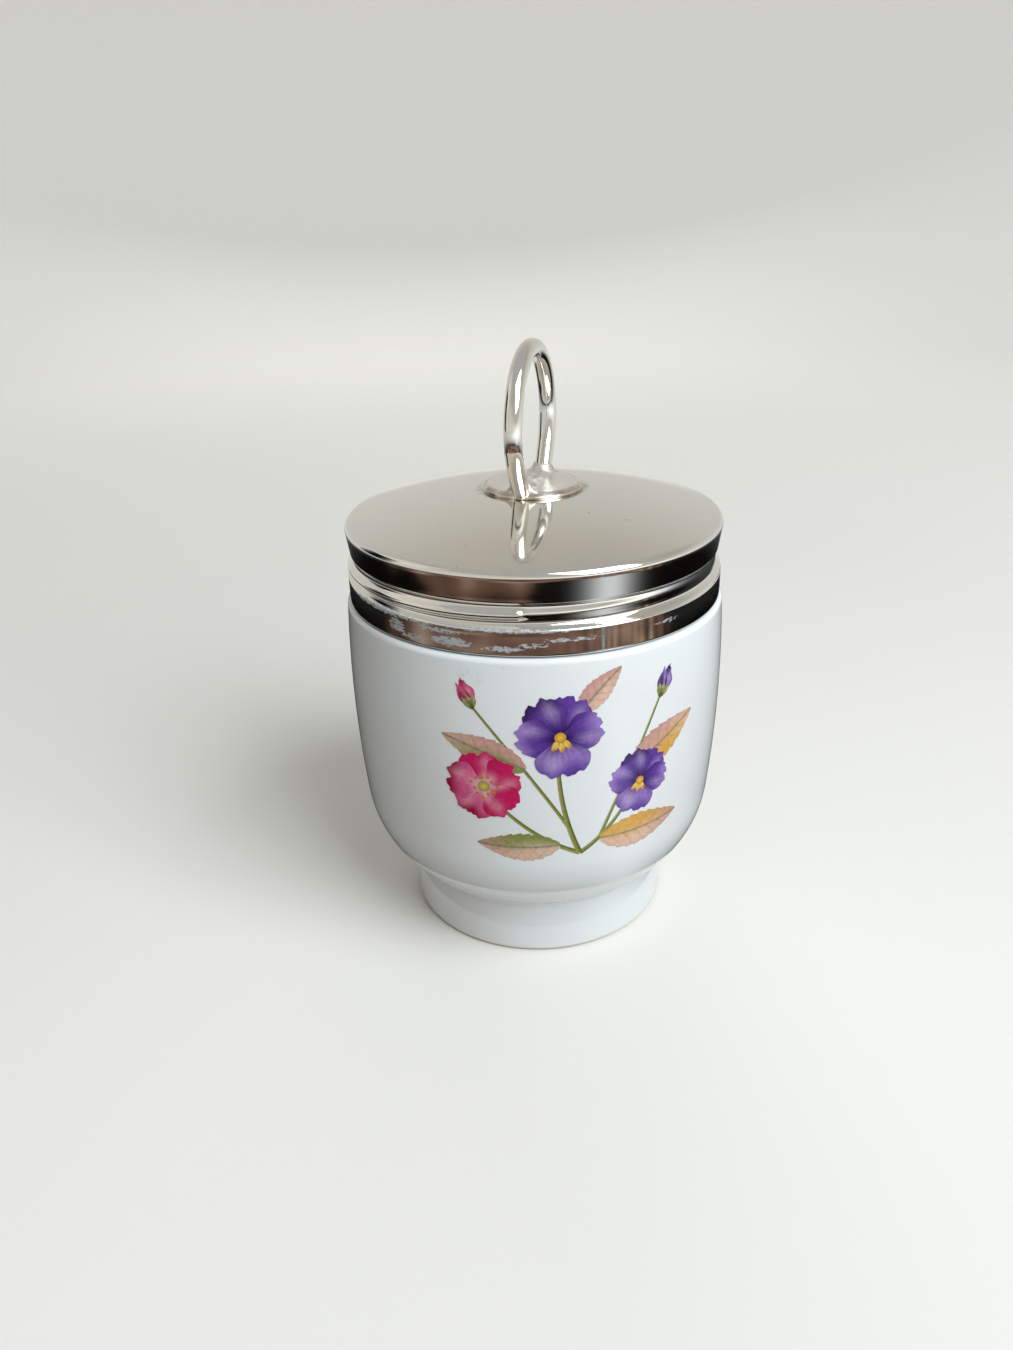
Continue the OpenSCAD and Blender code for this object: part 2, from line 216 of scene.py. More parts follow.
def cup_profile():
    """From the middle of the recess underneath, up the outside, over the lip and down to the floor."""
    side_top_z = SHOULDER_Z - SHOULDER_ROUND
    side_top_angle = math.degrees(math.asin((side_top_z - BELLY_Z) / BARREL_ARC))
    side_top_r = BARREL_CX + math.sqrt(BARREL_ARC**2 - (side_top_z - BELLY_Z) ** 2)
    over_join = 1
    low_in = CORNER_Z + (CORNER_ARC - CUP_WALL) * math.sin(math.radians(JOIN_ANGLE)) + over_join
    throat = []
    for i in range(THROAT_ROWS + 1):
        z = SHOULDER_Z + (low_in - SHOULDER_Z) * i / THROAT_ROWS
        inside = BARREL_CX + math.sqrt((BARREL_ARC - CUP_WALL) ** 2 - (z - BELLY_Z) ** 2)
        throat.append((MOUTH_R + (inside - MOUTH_R) * float(ease(SHOULDER_Z - z, 0, THROAT_H)), z))
    neck_low, neck_high = (NECK_R, SHOULDER_Z + NECK_FILLET), (NECK_R, LIP_Z - LIP_ROUND)
    step = GLAZE_STEP
    return (
        [(0, RECESS_Z), (FOOT_IN / 2, RECESS_Z)]
        + arc(FOOT_IN - RECESS_FILLET, RECESS_Z - RECESS_FILLET, RECESS_FILLET, 90, 0, 10)
        + arc(FOOT_IN + FOOT_EDGE, FOOT_EDGE, FOOT_EDGE, 180, 270, 8)
        + arc(FOOT_OUT - FOOT_EDGE, FOOT_EDGE, FOOT_EDGE - step, 270, 360, 8)
        + line((FOOT_OUT - step, FOOT_EDGE), (FOOT_R - step, FILLET_CZ), 8)
        + arc(FILLET_CX, FILLET_CZ, FOOT_FILLET + step, 180, FILLET_ANGLE, 10)
        + arc(CORNER_CX, CORNER_Z, CORNER_ARC - step, FILLET_ANGLE - 180, JOIN_ANGLE, 40)[1:]
        + arc(BARREL_CX, BELLY_Z, BARREL_ARC - step, JOIN_ANGLE, side_top_angle, 40)[1:]
        + arc(side_top_r - SHOULDER_ROUND, side_top_z, SHOULDER_ROUND - step, 10, 90, 8)
        + arc(NECK_R + NECK_FILLET, SHOULDER_Z + NECK_FILLET, NECK_FILLET, 270, 180, 6)
        + line(neck_low, neck_high, NECK_ROWS)
        + arc(NECK_R - LIP_ROUND, LIP_Z - LIP_ROUND, LIP_ROUND, 0, 90, 8)
        + arc(MOUTH_R + LIP_ROUND, LIP_Z - LIP_ROUND, LIP_ROUND, 90, 180, 8)
        + line((MOUTH_R, LIP_Z - LIP_ROUND), (MOUTH_R, SHOULDER_Z), 6)
        + throat
        + arc(CORNER_CX, CORNER_Z, CORNER_ARC - CUP_WALL, JOIN_ANGLE, -90, 30)
        + [(0, FLOOR_Z)]
    )


def neck_shape(r, z, a):
    """The porcelain thread on the neck."""
    on_neck = math.isclose(r, NECK_R) and SHOULDER_Z < z < LIP_Z
    if not on_neck:
        return r
    s = (a - THREAD_START) % 360
    first, end = RIDGE_SHORT, THREAD_LEN - RIDGE_SHORT
    rise = min(float(ease(s, first, first + RIDGE_RUN)), float(ease(-s, -end, RIDGE_RUN - end)))
    half = PITCH / 2 - TUCK - THREAD_GAP / 2
    return r + THREAD_DEPTH * rise * float(bump(z - crest_z(s), half))


# Faint grey rubs on the glaze: azimuth, height, half width in degrees, half height, strength
RUBS = [(-4.5, 56.2, 2.2, 0.5, 1.0), (-1.0, 55.7, 1.6, 0.9, 0.8), (196, 52.0, 3.0, 0.6, 0.7)]


def make_cup():
    verts, faces = spun(cup_profile(), CUP_SEGMENTS, neck_shape)
    cup = mesh_object("porcelain_cup", verts, faces, "cup", ["cup"])
    off_neck_r = NECK_R + 0.5
    point_values(cup, "rubs", side_patches(verts, RUBS, lambda r, z: r > off_neck_r))
    return cup


# ---------------------------------------------------------------- the lid
def rolled(s):
    """Share of the thread's full depth after s degrees: a quick end in front and a long shallow tail."""
    if s <= THREAD_LEN:
        return max(TAIL_PART, float(ease(THREAD_LEN - s, 0, END_RUN)))
    return TAIL_PART * (1 - float(ease(s - THREAD_LEN, 0, TAIL_LEN)))


def skirt_wall(z):
    """The skirt's outer radius without its thread."""
    if z > LOW_BAND_Z + BAND_RUN:
        return ROOT_R + (BAND_R - ROOT_R) * float(ease(z, BAND_Z - BAND_RUN, BAND_Z))
    return SKIRT_R + (ROOT_R - SKIRT_R) * float(ease(z, LOW_BAND_Z - BAND_RUN / 2, LOW_BAND_Z + BAND_RUN / 2))


def soft_max(a, b):
    """The larger of two radii, with a small fillet where they cross."""
    return (a + b + math.sqrt((a - b) ** 2 + ROLL_FILLET * ROLL_FILLET)) / 2


def rolled_wall(s, z):
    """The skirt's outer radius with its thread, s degrees along it."""
    bead = max(THREAD_DEPTH * rolled(t) * float(bump(z - crest_z(t), PITCH / 2 - TUCK)) for t in (s, s + 360))
    return soft_max(skirt_wall(z), ROOT_R + bead)


def lid_profile():
    """From the middle of the dome, down the outside and round the lower edge, to the middle of the inside."""
    edge = SHEET / 2
    pad_angle = math.degrees(math.acos(PAD_R / DOME_R))
    pad_angle_in = math.degrees(math.acos(PAD_R / (DOME_R - SHEET)))
    plain_z, pad_edge = SKIRT_Z + PLAIN_H, 0.15
    rows = [BAND_Z + (plain_z - BAND_Z) * i / ZONE_ROWS for i in range(ZONE_ROWS + 1)]
    outer = (
        [(0, PAD_Z), (PAD_R / 2, PAD_Z), (PAD_R - pad_edge, PAD_Z)]
        + arc(0, DOME_CZ, DOME_R, pad_angle, RIM_ANGLE, 24)
        + arc(RIM_R - RIM_ROUND, RIM_Z, RIM_ROUND, RIM_ANGLE, 0, 16)[1:]
        + line((RIM_R, RIM_Z), (BAND_R, BAND_Z), 6)
        + [(skirt_wall(z), z) for z in rows]
        + line((SKIRT_R, plain_z), (SKIRT_R, SKIRT_Z + edge), 18)
        + arc(SKIRT_R - edge, SKIRT_Z + edge, edge, 0, -180, 10)
    )
    inner = (
        line((SKIRT_R - SHEET, SKIRT_Z + edge), (SKIRT_R - SHEET, plain_z), 8)
        + [(skirt_wall(z) - SHEET, z) for z in reversed(rows)]
        + arc(RIM_R - RIM_ROUND, RIM_Z, RIM_ROUND - SHEET, 0, RIM_ANGLE, 8)
        + arc(0, DOME_CZ, DOME_R - SHEET, RIM_ANGLE, pad_angle_in, 16)[1:]
        + [(PAD_R / 2, PAD_Z - SHEET), (0, PAD_Z - SHEET)]
    )
    return outer + inner, plain_z


# Worn plating on the lower band: azimuth, height, half width in degrees, half height, strength
WEAR = [
    (-27, 61.3, 3.8, 1.5, 1.0),
    (-21, 60.2, 6.0, 0.7, 0.85),
    (-9, 60.7, 8.0, 0.9, 1.0),
    (6, 60.3, 7.0, 0.6, 0.95),
    (14, 60.9, 6.0, 0.5, 0.85),
    (24, 61.6, 11.0, 0.45, 0.8),
    (-12, 62.2, 10.0, 0.5, 0.85),
    (-34, 62.9, 26.0, 0.5, 0.95),
    (8, 63.0, 26.0, 0.4, 0.85),
    (54, 61.6, 6.0, 0.6, 0.75),
    (118, 60.8, 8.0, 0.9, 0.9),
    (160, 62.9, 34.0, 0.4, 0.85),
    (203, 61.2, 12.0, 0.8, 0.85),
    (287, 60.7, 7.0, 1.0, 0.9),
]


def make_lid():
    profile, plain_z = lid_profile()

    def shape(r, z, a):
        if not plain_z < z < BAND_Z:
            return r
        return r + rolled_wall((a - THREAD_START) % 360, z) - skirt_wall(z)

    verts, faces = spun(profile, LID_SEGMENTS, shape)
    lid = mesh_object("screw_lid", verts, faces, "lid", ["lid_cap"])

    band_top_z, band_in_r = LOW_BAND_Z + 0.6, SKIRT_R - 0.4
    point_values(lid, "wear", side_patches(verts, WEAR, lambda r, z: z < band_top_z and r > band_in_r))
    return lid


def make_plate():
    """The disc under the ring, with its edge rounded between the corners of the bevelled solid."""
    top, under_round, side_round, top_round = PLATE_TOP, 0.08, 0.25, 0.5
    top_round_r = PLATE_R - PLATE_BEVEL - 0.3
    profile = (
        [(0, PAD_Z), (PLATE_R / 2, PAD_Z)]
        + arc(PLATE_R - under_round, PAD_Z + under_round, under_round, 270, 360, 3)
        + arc(PLATE_R - side_round, PAD_Z + PLATE_THICK / 3, side_round, 0, 45, 5)
        + arc(top_round_r, top - top_round, top_round, 45, 90, 8)
        + [(PLATE_R * 0.75, top), (PLATE_R * 0.4, top), (0, top)]
    )
    verts, faces = spun(profile, PLATE_SEGMENTS)
    return mesh_object("ring_base_plate", verts, faces, "lid_carrier", ["ring_plate"])


WIRE_SINK, WIRE_IN, DENT, DENT_SCALE = 0.35, 0.02, 0.018, 0.35


def ring_path():
    """The wire's centre line in the YZ plane, from one foot round to the other."""
    leg_steps, bow_steps = 14, 120
    start = np.array([FOOT_Y - WIRE_SINK * math.tan(math.radians(LEG_ANGLE)), PLATE_TOP - WIRE_SINK])
    top = np.array([LEG_Y, LEG_Z])
    points = [start + (top - start) * i / leg_steps for i in range(leg_steps)]
    for a in np.linspace(-LEG_ANGLE, 180 + LEG_ANGLE, bow_steps):
        c, s = math.cos(math.radians(a)), math.sin(math.radians(a))
        points.append(np.array([RING_R * c, RING_Z + RING_R * s]))
    points += [np.array([-p[0], p[1]]) for p in reversed(points[:leg_steps])]
    return points


def make_ring():
    """The bent wire, with slight dents, drawn a little inside its solid."""
    path, around = ring_path(), WIRE_SEGMENTS
    verts, faces = [], []
    for i, p in enumerate(path):
        ahead, behind = path[min(i + 1, len(path) - 1)], path[max(i - 1, 0)]
        tangent = (ahead - behind) / np.linalg.norm(ahead - behind)
        normal = np.array([-tangent[1], tangent[0]])
        for k in range(around):
            a = 2 * math.pi * k / around
            dent = noise.noise(Vector((p[0] * DENT_SCALE, p[1] * DENT_SCALE, 2 + math.cos(a)))) * DENT
            r = WIRE_D / 2 - WIRE_IN + min(dent, 0.0)
            offset = normal * r * math.cos(a)
            verts.append((r * math.sin(a), p[0] + offset[0], p[1] + offset[1]))
    for i in range(len(path) - 1):
        for k in range(around):
            a, b = i * around + k, i * around + (k + 1) % around
            faces.append((a, b, b + around, a + around))
    faces.append(tuple(reversed(range(around))))
    faces.append(tuple(range((len(path) - 1) * around, len(path) * around)))
    return mesh_object("lifting_ring", verts, faces, "lid", ["lift_ring"])


LUMP_SCALE, LUMP_SPREAD, LUMP_WIDTH, LUMP_HEIGHT = 0.9, 0.25, 0.2, 0.35
FINE_SCALE, FINE_HEIGHT, FINE_FROM = 2.6, 0.05, 0.1
FILLET_POWER, RUN_SHARE = 2.2, 0.85
SOLDER_HALF_X, SOLDER_LEAST_X, SOLDER_EDGE = 2.85, 0.02, 0.05
SOLDER_SINK, SOLDER_RIM_SINK, SOLDER_ROOT = 0.03, 0.06, 0.2


def solder_height(x, y):
    """Height of the solder over the plate: a fillet round each foot and a low lumpy run between them."""
    lump = noise.noise(Vector((x * LUMP_SCALE, y * LUMP_SCALE, 5.0)))
    fine = noise.noise(Vector((x * FINE_SCALE, y * FINE_SCALE, 9.0)))
    height = 0.0
    for side in (-1, 1):
        d = math.hypot(x, (y - side * FOOT_Y) * math.cos(math.radians(LEG_ANGLE)))
        spread = SOLDER_SPREAD * (1 + LUMP_SPREAD * lump)
        t = min(max((d - WIRE_D / 2) / spread, 0.0), 1.0)
        height = max(height, SOLDER_H * (1 - t) ** FILLET_POWER)
    along = max(0.0, 1 - (abs(y) / FOOT_Y) ** 4)
    across = max(0.0, 1 - (abs(x) / (SOLDER_RUN_W / 2 * (1 + LUMP_WIDTH * lump))) ** 2)
    height = max(height, SOLDER_RUN_H * along * across * (RUN_SHARE + LUMP_HEIGHT * lump))
    return height + (FINE_HEIGHT * fine if height > FINE_FROM else 0)


def make_solder():
    """A closed lumpy skin over the plate, within the plate's flat top."""
    flat_r = PLATE_R - PLATE_BEVEL - SOLDER_EDGE
    columns, rows = 33, 97
    top, low = [], []
    for j in range(rows):
        y = flat_r * (2 * j / (rows - 1) - 1)
        reach = max(min(SOLDER_HALF_X, math.sqrt(max(flat_r**2 - y * y, 0.0))), SOLDER_LEAST_X)
        for i in range(columns):
            x = reach * (2 * i / (columns - 1) - 1)
            rim = i in (0, columns - 1) or j in (0, rows - 1)
            h = -SOLDER_RIM_SINK if rim else max(-SOLDER_SINK, solder_height(x, y) - SOLDER_SINK)
            top.append((x, y, PLATE_TOP + min(h, SOLDER_H)))
            low.append((x, y, PLATE_TOP - SOLDER_ROOT))
    verts, faces, n = top + low, [], len(top)
    for j in range(rows - 1):
        for i in range(columns - 1):
            a = j * columns + i
            b, c, d = a + 1, a + columns + 1, a + columns
            faces += [(a, b, c, d), (n + a, n + d, n + c, n + b)]
    border = grid_border(rows, columns)
    for a, b in zip(border, border[1:] + border[:1]):
        faces.append((b, a, n + a, n + b))
    return mesh_object("foot_solder", verts, faces, "lid", ["ring_solder"])


# ---------------------------------------------------------------- the printed spray of flowers
# Its own plane: x to the right and y up on the cup's skin, in millimetres from the spray's middle.
PRINT_AZIMUTH, PRINT_Z, PRINT_R = 23.0, 41.0, 31.5
PRINT_LIFT, LAYER_LIFT, PRINT_ROOT = 0.012, 0.0026, 0.05


def paint(red, green, blue):
    """A colour as seen on a screen, 0 to 255, as the shader wants it."""
    c = np.array([red, green, blue]) / 255
    return np.where(c <= 0.04045, c / 12.92, ((c + 0.055) / 1.055) ** 2.4)


VIOLET_DEEP, VIOLET = paint(52, 26, 96), paint(96, 62, 158)
LILAC, PALE_LILAC = paint(152, 124, 200), paint(206, 190, 228)
MAGENTA_DEEP, MAGENTA = paint(160, 12, 66), paint(203, 36, 100)
PINK, PALE_PINK = paint(224, 100, 152), paint(243, 190, 208)
MAUVE, BUFF = paint(206, 160, 150), paint(226, 192, 172)
OCHRE, LEAF_GREEN = paint(222, 172, 82), paint(140, 150, 84)
STEM_LIGHT, STEM_DARK, VEIN = paint(166, 166, 98), paint(96, 104, 50), paint(104, 122, 92)
YOLK, YOLK_DEEP = paint(238, 204, 84), paint(196, 132, 40)

# Lengths along the body's side, measured up its curve
side_heights = np.linspace(12, 58, 461)
side_radii = np.array([side_radius(z) for z in side_heights])
side_lengths = np.concatenate([[0], np.cumsum(np.hypot(np.diff(side_heights), np.diff(side_radii)))])
print_length = np.interp(PRINT_Z, side_heights, side_lengths)


def on_cup(x, y, lift):
    """The place of a point of the spray, lifted off the drawn glaze."""
    z = float(np.interp(print_length + y, side_lengths, side_heights))
    r = side_radius(z) - GLAZE_STEP + lift
    a = math.radians(PRINT_AZIMUTH) + x / PRINT_R
    return (r * math.sin(a), -r * math.cos(a), z)


def blend3(t, a, b, c):
    """From a through b at the middle to c, for an array of shares t."""
    t = np.clip(t, 0, 1)[..., None]
    return np.where(t < 0.5, a + (b - a) * ease(t, 0, 0.5), b + (c - b) * ease(t, 0.5, 1))


def grid(rows, columns, first=-1.0, last=1.0):
    """Shares along a form, row by row, and across it from -1 to 1."""
    return np.meshgrid(np.linspace(first, last, rows), np.linspace(-1, 1, columns), indexing="ij")


def disc(u, v):
    """A square grid from -1 to 1, drawn in to a round one."""
    return u * np.sqrt(1 - v * v / 2), v * np.sqrt(1 - u * u / 2)


def wave(x, middle, half):
    """A bell curve, 1 at its middle."""
    return np.exp(-(((x - middle) / half) ** 2))


PETAL_GRID, DOT_GRID, LEAF_GRID, STEM_GRID = (23, 21), (7, 7), (60, 23), (40, 5)
STROKE_SCALE = 1.7
PETAL_WIDEST, NOTCH_HALF, TIP_RUFFLE, FINE_RUFFLE, SIDE_RUFFLE = 0.55, 0.22, 0.035, 0.02, 0.04
SHINE, SHINE_ALONG, SHINE_ACROSS = 0.38, (0.62, 0.24), (-0.35, 0.28)
PETAL_VEINS, PETAL_VEIN_END, PETAL_EDGE_SHADE = 13, 0.8, 0.22
LEAF_FROM, LEAF_TO = 0.015, 0.99
TOOTH_DEPTH, LEAF_RIBS, RIB_SLANT, RIB_HALF, SIDE_RIB_HALF = 0.13, 7, 1.1, 0.16, 0.13
RIB_SHARE, SIDE_RIB_SHARE, LEAF_EDGE_SHADE, LEAF_TIP_SHARE = 0.75, 0.42, 0.14, 0.75


class Spray:
    """Thin closed islands of ceramic colour that hug the cup, each laid over the last."""

    def __init__(self):
        self.verts, self.faces, self.colours, self.borders, self.layer = [], [], [], set(), 0

    def island(self, x, y, colour):
        """A patch from grids of places and colours."""
        rows, columns = x.shape
        lift = PRINT_LIFT + LAYER_LIFT * self.layer
        start, count = len(self.verts), rows * columns
        for height in (lift, -PRINT_ROOT):
            self.verts += [on_cup(x[i, j], y[i, j], height) for i in range(rows) for j in range(columns)]
            self.colours += [tuple(colour[i, j]) for i in range(rows) for j in range(columns)]
        x_across, y_across = np.diff(x, axis=1)[:-1], np.diff(y, axis=1)[:-1]
        x_along, y_along = np.diff(x, axis=0)[:, :-1], np.diff(y, axis=0)[:, :-1]
        turn = np.sum(x_across * y_along - y_across * x_along)

        def add(*quad):
            self.faces.append(quad if turn > 0 else tuple(reversed(quad)))

        for i in range(rows - 1):
            for j in range(columns - 1):
                a = start + i * columns + j
                add(a, a + 1, a + columns + 1, a + columns)
                b = a + count
                add(b, b + columns, b + columns + 1, b + 1)
        border = grid_border(rows, columns)
        for a, b in zip(border, border[1:] + border[:1]):
            a, b = a + start, b + start
            add(b, a, a + count, b + count)
            self.borders.add((min(a, b), max(a, b)))

    def mottle(self, x, y, colour, amount=0.1):
        """Small uneven strokes, as of a brush."""
        strokes = [
            noise.noise(Vector((a * STROKE_SCALE, b * STROKE_SCALE, self.layer)))
            for a, b in zip(x.ravel(), y.ravel())
        ]
        fine = np.array(strokes).reshape(x.shape)
        return np.clip(colour * (1 + amount * 2 * fine[..., None]), 0, 1)

    def place(self, root, angle, along, across):
        """Lengths along and across a form, turned by its angle from its root."""
        c, s = math.cos(math.radians(angle)), math.sin(math.radians(angle))
        return root[0] + along * c - across * s, root[1] + along * s + across * c

    def petal(
        self, root, angle, length, width, throat, middle, rim,
        seed=0.0, notch=0.06, veins=0.25, point=0.0, claw=0.35,
    ):
        """A ruffled petal, shaded from its throat to its rim. point narrows its tip and claw its root."""
        deep, w = disc(*grid(*PETAL_GRID))
        t = (deep + 1) / 2
        tip, edge = ease(t, PETAL_WIDEST, 1), np.hypot(deep, w) ** 4
        ruffle = edge * (TIP_RUFFLE * np.sin(11 * w + seed) + FINE_RUFFLE * np.sin(23 * w + 2 * seed))
        along = length * (t - notch * wave(w, 0, NOTCH_HALF) * tip + ruffle * tip)
        half = width / 2 * (claw + (1 - claw) * ease(t, 0, PETAL_WIDEST)) * (1 - point * tip)
        across = half * w * (1 + SIDE_RUFFLE * edge * np.sin(9 * t + seed))
        x, y = self.place(root, angle, along, across)
        colour = blend3(t + 0.08 * np.sin(5 * w + seed), throat, middle, rim)
        shine = (wave(w, *SHINE_ACROSS) * wave(t, *SHINE_ALONG))[..., None] * SHINE
        pale = PALE_LILAC if rim[2] > rim[0] else PALE_PINK
        colour = colour + (pale - colour) * shine
        fan = np.arctan2(w * (0.3 + t), t + 0.15)
        stripes = np.cos(fan * PETAL_VEINS + 0.4 * np.sin(seed)) ** 6
        stripes = (stripes * np.clip(1 - t / PETAL_VEIN_END, 0, 1))[..., None]
        colour = colour * (1 - veins * stripes) * (1 - PETAL_EDGE_SHADE * np.abs(w[..., None]) ** 4)
        self.island(x, y, self.mottle(x, y, colour))
        self.layer += 1

    def dot(self, centre, radius, inner, outer):
        """A round spot, on the present layer."""
        v, u = grid(*DOT_GRID)
        across, up = disc(u, v)
        far = np.clip(np.hypot(across, up), 0, 1)[..., None]
        self.island(centre[0] + radius * across, centre[1] + radius * up, inner + (outer - inner) * far)

    def leaf(self, root, angle, length, width, bend, lower, upper, tip, teeth=9):
        """A toothed leaf that bends to one side, with a middle rib and slanting side ribs."""
        t, w = grid(*LEAF_GRID, LEAF_FROM, LEAF_TO)
        tooth = 1 - TOOTH_DEPTH * (t * teeth - np.floor(t * teeth)) * np.abs(w) ** 3
        half = width / 2 * np.sin(np.pi * t**0.8) ** 0.85 * tooth
        x, y = self.place(root, angle, length * t, half * w + bend * length * t * t)
        side = ease(w + 0.2 * np.sin(6 * t), -0.6, 0.6)[..., None]
        colour = lower + (upper - lower) * side
        colour = colour + (tip - colour) * (ease(t, 0.45, 1.0)[..., None] * LEAF_TIP_SHARE)
        rib = wave(w * half, 0, RIB_HALF)[..., None]
        steps = t * LEAF_RIBS - np.abs(w) * RIB_SLANT
        off_rib = (steps - np.round(steps)) * length / LEAF_RIBS
        side_rib = wave(off_rib, 0, SIDE_RIB_HALF)[..., None] * (1 - np.abs(w[..., None])) ** 0.5
        colour = colour + (VEIN - colour) * np.clip(RIB_SHARE * rib + SIDE_RIB_SHARE * side_rib, 0, 1)
        colour = colour * (1 - LEAF_EDGE_SHADE * np.abs(w[..., None]) ** 6)
        self.island(x, y, self.mottle(x, y, colour, 0.07))
        self.layer += 1

    def stem(self, start, control, end, width_from, width_to):
        """A stem along a curve with one control point."""
        t, w = grid(*STEM_GRID, 0, 1)
        p0, p1, p2 = (np.array(p) for p in (start, control, end))
        line_x, line_y = ((1 - t) ** 2 * p0[k] + 2 * t * (1 - t) * p1[k] + t * t * p2[k] for k in (0, 1))
        dx, dy = (2 * (1 - t) * (p1[k] - p0[k]) + 2 * t * (p2[k] - p1[k]) for k in (0, 1))
        size = np.hypot(dx, dy)
        half = (width_from + (width_to - width_from) * t) / 2
        x, y = line_x - dy / size * half * w, line_y + dx / size * half * w
        shade = ease(w, -1, 1)[..., None]
        colour = STEM_DARK + (STEM_LIGHT - STEM_DARK) * shade
        self.island(x, y, self.mottle(x, y, colour, 0.12))

    def violet(self, centre, size, turn):
        """Four upper petals and a broad pale lower one, with yellow streaks and a yellow eye."""
        for angle, length, width, middle, rim in (
            (62, 1.0, 1.05, VIOLET, VIOLET),
            (118, 1.02, 1.05, VIOLET, VIOLET_DEEP),
            (6, 0.98, 0.95, VIOLET, LILAC),
            (174, 0.98, 0.95, VIOLET, LILAC),
            (270, 1.0, 1.3, LILAC, VIOLET),
        ):
            length, width = size * length, size * width
            self.petal(centre, angle + turn, length, width, VIOLET_DEEP, middle, rim, seed=angle, veins=0.5)
        for angle in (235, 270, 305):
            length, width = size * 0.36, size * 0.15
            self.petal(centre, angle + turn, length, width, YOLK, YOLK, YOLK_DEEP, veins=0, notch=0)
            self.layer -= 1
        self.layer += 1
        self.dot(centre, size * 0.13, YOLK, YOLK_DEEP)
        self.layer += 1

    def rose(self, centre, size, turn):
        """Five petals, laid every other one round, with a ring of stamens."""
        petals, stamens = 5, 11
        for k in range(petals):
            angle = turn + 2 * k * 360 / petals
            middle, rim = (PINK, MAGENTA_DEEP) if k % 2 else (MAGENTA, MAGENTA)
            length, width = size * (0.97 + 0.03 * (k % 2)), size * 1.12
            self.petal(centre, angle, length, width, PALE_PINK, middle, rim, seed=1.7 * k, notch=0.1)
        for k in range(stamens):
            a = math.radians(turn + 360 * k / stamens)
            reach = size * (0.24 + 0.05 * (k % 3))
            tip = (centre[0] + reach * math.cos(a), centre[1] + reach * math.sin(a))
            self.dot(tip, size * 0.045, YOLK_DEEP, YOLK_DEEP)
        self.layer += 1
        self.dot(centre, size * 0.15, YOLK, LEAF_GREEN)
        self.layer += 1

    def bud(self, centre, angle, size, dark, light):
        """Two furled petals in three green sepals."""
        pointed = {"notch": 0, "point": 0.6, "claw": 0.6}
        self.petal(centre, angle, size, size * 0.55, dark, light, dark, seed=2, **pointed)
        self.layer -= 1
        self.petal(centre, angle + 12, size * 0.92, size * 0.36, dark, dark, light, seed=4, **pointed)
        sepal = {"veins": 0, "notch": 0, "point": 0.9, "claw": 0.6}
        for spread in (-24, 24, 0):
            length, width = size * 0.5, size * 0.2
            self.petal(centre, angle + spread, length, width, STEM_DARK, LEAF_GREEN, STEM_LIGHT, **sepal)
            self.layer -= 1
        self.layer += 1


def make_print():
    spray = Spray()
    joint = (2.0, -15.5)
    spray.stem(joint, (-2.0, -6.0), (-1.5, 5.0), 0.95, 0.55)
    spray.stem(joint, (-6.0, -12.0), (-13.0, -3.5), 0.85, 0.5)
    spray.stem(joint, (7.5, -12.0), (11.5, -4.0), 0.85, 0.5)
    spray.stem((5.17, -13.0), (9.0, -3.0), (15.0, 9.2), 0.6, 0.4)
    spray.stem((0.28, -10.66), (-6.5, 1.0), (-14.0, 10.0), 0.6, 0.4)
    spray.layer += 1
    spray.leaf((5.0, -13.2), -4, 15.5, 6.4, 0.10, BUFF, OCHRE, MAUVE)
    spray.leaf((-1.0, -13.6), 186, 13.5, 5.6, -0.10, LEAF_GREEN, BUFF, MAUVE)
    spray.leaf((9.3, -2.2), 32, 15.0, 6.4, -0.08, OCHRE, MAUVE, BUFF)
    spray.leaf((-6.2, 0.2), 154, 14.0, 5.4, 0.10, MAUVE, LEAF_GREEN, BUFF)
    spray.leaf((1.5, 9.0), 52, 9.5, 4.2, -0.12, BUFF, MAUVE, MAUVE)
    spray.bud((15.0, 9.0), 66, 5.2, VIOLET_DEEP, LILAC)
    spray.bud((-14.0, 9.8), 112, 5.0, MAGENTA_DEEP, PINK)
    spray.violet((11.8, -4.2), 5.6, -12)
    spray.rose((-12.8, -3.0), 6.2, 100)
    spray.violet((-1.2, 5.6), 6.8, 6)
    obj = mesh_object("flower_print", spray.verts, spray.faces, "cup")
    colours = obj.data.attributes.new("print", "FLOAT_COLOR", "POINT")
    colours.data.foreach_set("color", np.array([(*c, 1.0) for c in spray.colours], np.float32).ravel())
    sharp = obj.data.attributes.new("sharp_edge", "BOOLEAN", "EDGE")
    sharp.data.foreach_set("value", [tuple(sorted(e.vertices)) in spray.borders for e in obj.data.edges])
    return obj


